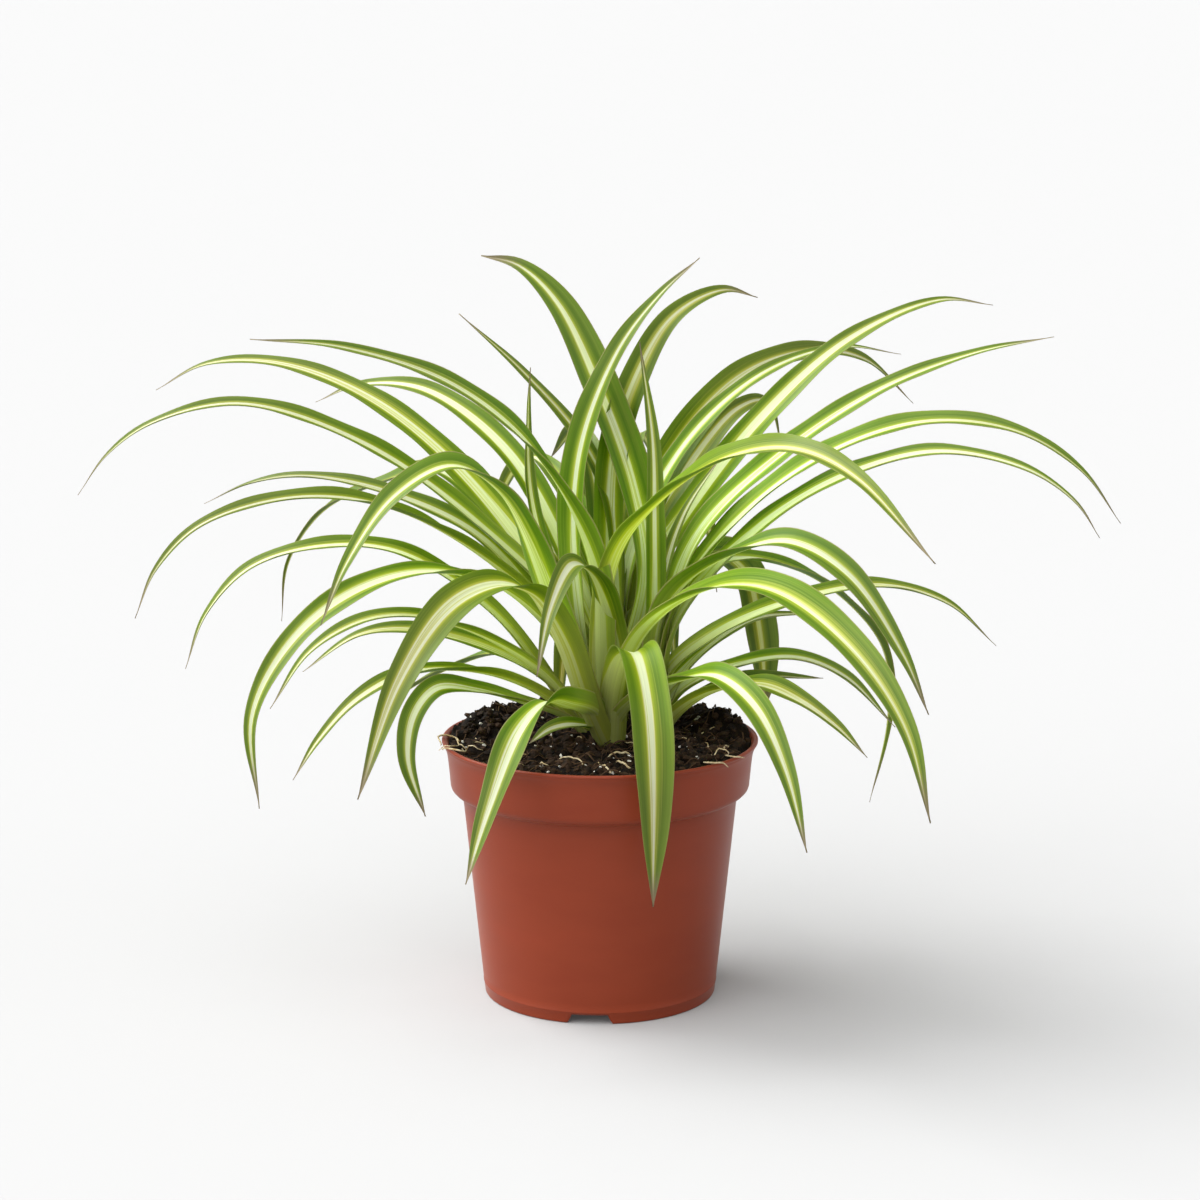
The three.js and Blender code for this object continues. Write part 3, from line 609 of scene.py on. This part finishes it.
fans["rosette_back"] = {"at": [4, 26], "blades": [
    [147, 12, 35, 35, 0.45, [3, 130], [18, 160], [46, 200], [85, 222], [119, 222], [142, 213]],
    [143, 10, 20, 20, 0.5, [10, 125], [49, 167], [85, 190], [116, 182], [149, 166], [168, 142], [172, 117]],
    [30, 11, 15, 15, 0.5, [10, 135], [50, 158], [85, 152], [113, 134], [130, 112], [132, 84], [123, 50]],
    [40, 14.5, -45, -45, 0.8, [14, 130], [35, 153], [55, 160], [72, 149], [79, 127], [82, 105], [81, 90]],
    [22, 13, 35, 35, 0.45, [5, 140], [29, 175], [63, 214], [100, 243], [140, 257], [164, 254]],
    [41, 15, 45, 45, 0.4, [6, 150], [28, 196], [64, 226], [103, 235], [138, 229], [167, 208]],
    [32, 10, 20, 20, 0.4, [8, 160], [31, 202], [68, 229], [107, 238], [138, 233]],
    [50, 12, 40, 40, 0.5, [15, 160], [50, 195], [80, 213], [100, 213], [110, 190]],
    [165, 15.5, 60, 60, 0.66, [-10, 130], [-16, 160], [-10, 193], [3, 228], [20, 261], [36, 275], [51, 278]],
    [30, 13, 60, 60, 0.55, [-1, 160], [1, 205], [11, 233], [27, 255], [50, 264], [66, 260]],
    [160, 8, 40, 40, 0.4, [-2, 150], [0, 185], [12, 209], [36, 234], [62, 255]],
    [110, 13, 0, 0, 0.5, [4, 150], [18, 195], [38, 208], [70, 192]],
    [75, 11, 0, 0, 0.5, [4, 145], [20, 185], [44, 206], [80, 185]],
    [100, 12, 0, 0, 0.5, [12, 130], [38, 168], [66, 165], [80, 128]],
    [125, 11, 0, 0, 0.5, [12, 128], [36, 160], [66, 164], [82, 138]],
    [70, 11, 0, 0, 0.5, [14, 122], [36, 148], [66, 142], [80, 98]],
    [108, 10, 0, 0, 0.5, [12, 112], [34, 132], [58, 120], [70, 78]],
    [80, 10, 0, 0, 0.55, [12, 110], [32, 124], [50, 110], [58, 72]],
    [95, 13, 0, 0, 0.5, [5, 140], [28, 185], [65, 200], [95, 178], [110, 138]],
    [118, 12, 0, 0, 0.5, [5, 140], [30, 180], [68, 194], [94, 176], [104, 152]],
    [66, 12, 0, 0, 0.5, [5, 140], [30, 178], [70, 190], [98, 165], [110, 130]],
]}
# every blade draws these in turn, evenly between two values
bladeTraits = {
    "bladeTone": (0, 1), "stripeShare": (0.16, 0.3), "stripeOffset": (-0.13, 0.13), "bladeSeed": (0, 50),
    "dryEdge": (0, 1),
}


def smoothPath(points, count):
    # a centripetal Catmull-Rom curve through the points, then evenly spaced along its own length
    p = np.asarray(points, float)
    p = np.vstack([2 * p[0] - p[1], p, 2 * p[-1] - p[-2]])
    root = np.maximum(np.linalg.norm(np.diff(p, axis=0), axis=1) ** 0.5, 1e-4)
    samples = 500
    t = np.linspace(0, len(points) - 1, samples)
    i = np.minimum(t.astype(int), len(points) - 2)
    w = (t - i)[:, None]
    a, b, c, d = p[i], p[i + 1], p[i + 2], p[i + 3]
    d0, d1, d2 = root[i][:, None], root[i + 1][:, None], root[i + 2][:, None]
    m1 = ((b - a) / d0 - (c - a) / (d0 + d1) + (c - b) / d1) * d1
    m2 = ((c - b) / d1 - (d - b) / (d1 + d2) + (d - c) / d2) * d1
    curve = b + m1 * w + (3 * (c - b) - 2 * m1 - m2) * w ** 2 + (2 * (b - c) + m1 + m2) * w ** 3
    length = np.concatenate([[0], np.cumsum(np.linalg.norm(np.diff(curve, axis=0), axis=1))])
    even = np.linspace(0, length[-1], count)
    return np.stack([np.interp(even, length, curve[:, k]) for k in range(3)], -1), length[-1]


def bladeSurface(at, row, draw):
    # a gutter carried along the midline: the distance across turns up by the fold angle on both sides, the
    # two skins lie half a thickness above and below it, and the blade twists, sways and ripples gently
    heading, width, baseTilt, tipTilt, belly, *path = row
    h = math.radians(heading)
    out, aside = np.array([math.cos(h), math.sin(h), 0]), np.array([-math.sin(h), math.cos(h), 0])
    line = [np.array([*at, z]) + out * r for r, z in [[leaf["rootReach"], leaf["rootHeight"]], *path]]
    middle, length = smoothPath(line, leaf["stations"])
    tangent = np.gradient(middle, axis=0)
    tangent /= np.linalg.norm(tangent, axis=1, keepdims=True)
    across = aside - (tangent @ aside)[:, None] * tangent
    across /= np.linalg.norm(across, axis=1, keepdims=True)
    v = np.linspace(0, 1, leaf["stations"])
    tilt = baseTilt + (tipTilt - baseTilt) * smoothStep(0.25, 0.65, v)
    sway = leaf["sway"] * np.sin(2 * np.pi * v + draw.uniform(0, 6))
    turn = (tilt if math.cos(h) >= 0 else -tilt) + sway
    turn = np.radians(turn)[:, None]
    across = across * np.cos(turn) + np.cross(tangent, across) * np.sin(turn)
    up = np.cross(tangent, across)
    rise = leaf["baseShare"] + (1 - leaf["baseShare"]) * np.sin(np.pi / 2 * np.minimum(v / belly, 1))
    fall = 1 - (np.clip(v - belly, 0, 1) / (1 - belly)) ** leaf["taperPower"]
    half = np.maximum(width * np.where(v < belly, rise, fall), leaf["tipWidth"]) / 2
    unfolded = smoothStep(0.02, 0.5, v)
    fold = np.radians(leaf["foldAtBelly"] + (leaf["foldAtBase"] - leaf["foldAtBelly"]) * (1 - unfolded))
    u = np.sin(np.linspace(-np.pi / 2, np.pi / 2, leaf["across"] + 1))
    bend = np.abs(u) ** leaf["foldCurve"]
    wave = np.sin(2 * np.pi * v * length / leaf["rippleLength"] + draw.uniform(0, 6))
    ripple = leaf["ripple"] * wave * np.minimum(half / 5, 1) * smoothStep(0.15, 0.4, v)
    sideways = half[:, None] * u * (1 - (1 - np.cos(fold))[:, None] * np.abs(u))
    lift = half * np.sin(fold)
    upwards = lift[:, None] * (bend - 0.5) + ripple[:, None] * u ** 3
    skin = leaf["thickness"] / 2 * (1 - leaf["edgeThinning"] * u ** 2) * np.minimum(half / 2.5, 1)[:, None]
    flat = middle[:, None] + across[:, None] * sideways[..., None]
    top = flat + up[:, None] * (upwards + skin)[..., None]
    under = flat + up[:, None] * (upwards - skin)[..., None]
    return np.concatenate([top, under[:, ::-1]], 1), u, v


def fanSurface(name):
    # all the blades of one crown, with their map and the numbers that the leaf material reads
    fan = fans[name]
    draw = np.random.default_rng(sum(map(ord, name)))
    points, uv = [], []
    traits = {key: [] for key in (*bladeTraits, "upperFace")}
    for row in fan["blades"]:
        grid, u, v = bladeSurface(fan["at"], row, draw)
        rows, ring = grid.shape[:2]
        loop = (np.concatenate([u, u[::-1]]) + 1) / 2
        points.append(grid.reshape(-1, 3))
        uv.append(np.stack(np.broadcast_arrays(loop[None], v[:, None]), -1).reshape(-1, 2))
        for key, (low, high) in bladeTraits.items():
            traits[key].append(np.full(rows * ring, draw.uniform(low, high)))
        traits["upperFace"].append(np.tile(np.repeat([1.0, 0.0], ring // 2), rows))
    faces = tubeFaces(rows, ring, len(fan["blades"]), flip=True)
    traits = {key: np.concatenate(parts) for key, parts in traits.items()}
    return np.vstack(points), faces, np.vstack(uv), traits


def leafMaterial():
    # a living leaf: waxy skin over soft tissue that lets light through; cream stripe along the middle, fine
    # yellow-green lines beside it, deep green margins, a pale base, a papery tip, and veins along its length
    material, tree, output = newMaterial("living leaf, waxy and striped")
    uv = addNode(tree, "ShaderNodeSeparateXYZ", {0: addNode(tree, "ShaderNodeUVMap", uv_map="bladeUv")})
    across, along = uv.outputs["X"], uv.outputs["Y"]
    trait = {name: addNode(tree, "ShaderNodeAttribute", attribute_name=name).outputs["Fac"]
             for name in (*bladeTraits, "upperFace")}
    centred = addNode(tree, "ShaderNodeMath", {0: across, 1: 2.0, 2: -1.0}, operation="MULTIPLY_ADD")
    # streaks run along the blade: about a dozen across it, each about three quarters of a blade long
    streakPlace = addNode(tree, "ShaderNodeCombineXYZ", {
        0: addNode(tree, "ShaderNodeMath", {0: across, 1: 13.0}, operation="MULTIPLY"),
        1: addNode(tree, "ShaderNodeMath", {0: along, 1: 1.3}, operation="MULTIPLY"), 2: trait["bladeSeed"]})
    streak = addNode(tree, "ShaderNodeTexNoise", {
        "Vector": streakPlace, "Scale": 1.0, "Detail": 3.0, "Roughness": 0.6})
    # veins: real ones are 0.4 mm apart, which is too fine to show, so these are about 0.8 mm apart
    veinPlace = addNode(tree, "ShaderNodeCombineXYZ", {
        0: addNode(tree, "ShaderNodeMath", {0: across, 1: 30.0}, operation="MULTIPLY"),
        1: addNode(tree, "ShaderNodeMath", {0: along, 1: 3.0}, operation="MULTIPLY"), 2: trait["bladeSeed"]})
    vein = addNode(tree, "ShaderNodeTexNoise", {"Vector": veinPlace, "Scale": 1.0, "Detail": 1.0})
    # distance from the edge of the cream stripe, which is wide at the base and narrows to its own share
    wander = addNode(tree, "ShaderNodeMath", {0: streak, 1: 0.12, 2: -0.06}, operation="MULTIPLY_ADD")
    offBase = addNode(tree, "ShaderNodeMapRange", {
        "Value": along, "From Min": 0.1, "From Max": 0.5, "To Min": 3.6, "To Max": 1.0},
        interpolation_type="SMOOTHSTEP")
    offset = addNode(tree, "ShaderNodeMath", {0: trait["stripeOffset"], 1: offBase}, operation="MULTIPLY")
    shifted = addNode(tree, "ShaderNodeMath", {0: centred, 1: offset}, operation="ADD")
    away = addNode(tree, "ShaderNodeMath", {0: shifted}, operation="ABSOLUTE")
    away = addNode(tree, "ShaderNodeMath", {0: away, 1: wander}, operation="ADD")
    stripe = addNode(tree, "ShaderNodeMapRange", {
        "Value": along, "From Min": 0.0, "From Max": 0.5, "To Min": 0.74, "To Max": trait["stripeShare"]},
        interpolation_type="SMOOTHSTEP")
    narrow = addNode(tree, "ShaderNodeMapRange", {
        "Value": along, "From Min": 0.55, "From Max": 0.95, "To Min": 1.0, "To Max": 0.7})
    stripe = addNode(tree, "ShaderNodeMath", {0: stripe, 1: narrow}, operation="MULTIPLY")
    beyond = addNode(tree, "ShaderNodeMath", {0: away, 1: stripe}, operation="SUBTRACT")
    place = addNode(tree, "ShaderNodeMapRange", {
        "Value": beyond, "From Min": -0.25, "From Max": 0.75, "To Min": 0.0, "To Max": 1.0})
    tint = addNode(tree, "ShaderNodeValToRGB", {"Fac": place}, ramp=[
        (0.0, leaf["cream"]), (1.0, leaf["edgeGreen"]), (0.2, leaf["cream"]), (0.245, leaf["warmCream"]),
        (0.262, leaf["lime"]), (0.3, leaf["paleGreen"]), (0.37, leaf["midGreen"]), (0.6, leaf["darkGreen"])])
    # thin pale lines in the green
    lineMask = addNode(tree, "ShaderNodeMapRange", {
        "Value": streak, "From Min": 0.54, "From Max": 0.6, "To Min": 0.0, "To Max": 0.7})
    lineFade = addNode(tree, "ShaderNodeMapRange", {
        "Value": beyond, "From Min": 0.02, "From Max": 0.45, "To Min": 1.0, "To Max": 0.15})
    lineMask = addNode(tree, "ShaderNodeMath", {0: lineMask, 1: lineFade}, operation="MULTIPLY")
    lined = addNode(tree, "ShaderNodeMix", {"Factor": lineMask, 6: tint, 7: leaf["lime"]}, data_type="RGBA")
    # pale base
    baseMask = addNode(tree, "ShaderNodeMapRange", {
        "Value": along, "From Min": 0.02, "From Max": 0.52, "To Min": 0.75, "To Max": 0.0},
        interpolation_type="SMOOTHSTEP")
    based = addNode(tree, "ShaderNodeMix", {
        "Factor": baseMask, 6: lined.outputs[2], 7: leaf["paleBase"]}, data_type="RGBA")
    # brightness differs from blade to blade and from vein to vein
    tone = addNode(tree, "ShaderNodeMapRange", {"Value": trait["bladeTone"], "To Min": 0.86, "To Max": 1.14})
    veinTone = addNode(tree, "ShaderNodeMapRange", {
        "Value": vein, "From Min": 0.3, "From Max": 0.7, "To Min": 0.93, "To Max": 1.07})
    tone = addNode(tree, "ShaderNodeMath", {0: tone, 1: veinTone}, operation="MULTIPLY")
    # painted light and shade along a blade: its inner half is painted brighter and richer as light glowing
    # through the crown, its root is painted darker as shade, and its outer half is darker and greyer, the
    # grey a painted sheen
    inner = addNode(tree, "ShaderNodeMapRange", {
        "Value": along, "From Min": 0.08, "From Max": 0.27,
        "To Min": leaf["rootLight"], "To Max": leaf["innerLight"]})
    outer = addNode(tree, "ShaderNodeMapRange", {
        "Value": along, "From Min": 0.42, "From Max": 0.75, "To Min": 1.0, "To Max": leaf["outerLight"]})
    tone = addNode(tree, "ShaderNodeMath", {0: tone, 1: inner}, operation="MULTIPLY")
    tone = addNode(tree, "ShaderNodeMath", {0: tone, 1: outer}, operation="MULTIPLY")
    hue = addNode(tree, "ShaderNodeMapRange", {"Value": trait["dryEdge"], "To Min": 0.492, "To Max": 0.512})
    hueFall = addNode(tree, "ShaderNodeMapRange", {
        "Value": along, "From Min": 0.35, "From Max": 0.75, "To Min": 0.004, "To Max": -0.016})
    hue = addNode(tree, "ShaderNodeMath", {0: hue, 1: hueFall}, operation="ADD")
    # saturation painted richer on the inner half as glowing light, and greyer on the outer half as a painted
    # sheen
    paintedLightSaturation = addNode(tree, "ShaderNodeMapRange", {
        "Value": along, "From Min": 0.35, "From Max": 0.75,
        "To Min": leaf["innerSaturation"], "To Max": leaf["outerSaturation"]})
    toned = addNode(tree, "ShaderNodeHueSaturation", {
        "Color": based.outputs[2], "Value": tone, "Saturation": paintedLightSaturation, "Hue": hue})
    # the underside is a warmer, duller green
    under = addNode(tree, "ShaderNodeMapRange", {"Value": trait["upperFace"], "To Min": 0.85, "To Max": 0.0})
    sided = addNode(tree, "ShaderNodeMix", {
        "Factor": under, 6: toned, 7: leaf["underTint"]}, data_type="RGBA", blend_type="MULTIPLY")
    # a straw-coloured line on the margin of some blades, and a papery tip
    margin = addNode(tree, "ShaderNodeMath", {0: centred}, operation="ABSOLUTE")
    margin = addNode(tree, "ShaderNodeMapRange", {
        "Value": margin, "From Min": 0.93, "From Max": 0.97, "To Min": 0.0, "To Max": 0.6})
    margin = addNode(tree, "ShaderNodeMath", {0: margin, 1: trait["dryEdge"]}, operation="MULTIPLY")
    edged = addNode(tree, "ShaderNodeMix", {
        "Factor": margin, 6: sided.outputs[2], 7: leaf["dryEdge"]}, data_type="RGBA")
    tip = addNode(tree, "ShaderNodeMapRange", {
        "Value": along, "From Min": 0.9, "From Max": 0.985, "To Min": 0.0, "To Max": 0.85},
        interpolation_type="SMOOTHSTEP")
    tipped = addNode(tree, "ShaderNodeMix", {
        "Factor": tip, 6: edged.outputs[2], 7: leaf["dryTip"]}, data_type="RGBA")
    bump = addNode(tree, "ShaderNodeBump", {"Height": vein, "Strength": 0.35, "Distance": 0.0002})
    skin = addNode(tree, "ShaderNodeBsdfPrincipled", {
        "Base Color": tipped.outputs[2], "Roughness": 0.42, "IOR": 1.42, "Specular IOR Level": 0.35,
        "Normal": bump})
    glow = addNode(tree, "ShaderNodeMix", {
        "Factor": 0.55, 6: tipped.outputs[2], 7: leaf["backlight"]}, data_type="RGBA", blend_type="MULTIPLY")
    glow = addNode(tree, "ShaderNodeHueSaturation", {
        "Color": glow.outputs[2], "Saturation": 1.1, "Value": 1.4})
    through = addNode(tree, "ShaderNodeBsdfTranslucent", {"Color": glow, "Normal": bump})
    shader = addNode(tree, "ShaderNodeMixShader", {0: leaf["translucency"], 1: skin, 2: through})
    tree.links.new(shader.outputs[0], output.inputs["Surface"])
    return material


leafFinish = leafMaterial()
pieceNames = {"rosette_front": "leavesFront", "rosette_left": "leavesLeft",
              "rosette_right": "leavesRight", "rosette_back": "leavesBack"}
for node, pieceName in pieceNames.items():
    points, faces, uv, traits = fanSurface(node)
    piece = makePiece(pieceName, points, faces, leafFinish, "leaf")
    setUv(piece, "bladeUv", uv)
    setAttributes(piece, traits)
    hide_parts(node)
    print(pieceName + ":", len(fans[node]["blades"]), "blades,", len(faces), "faces")
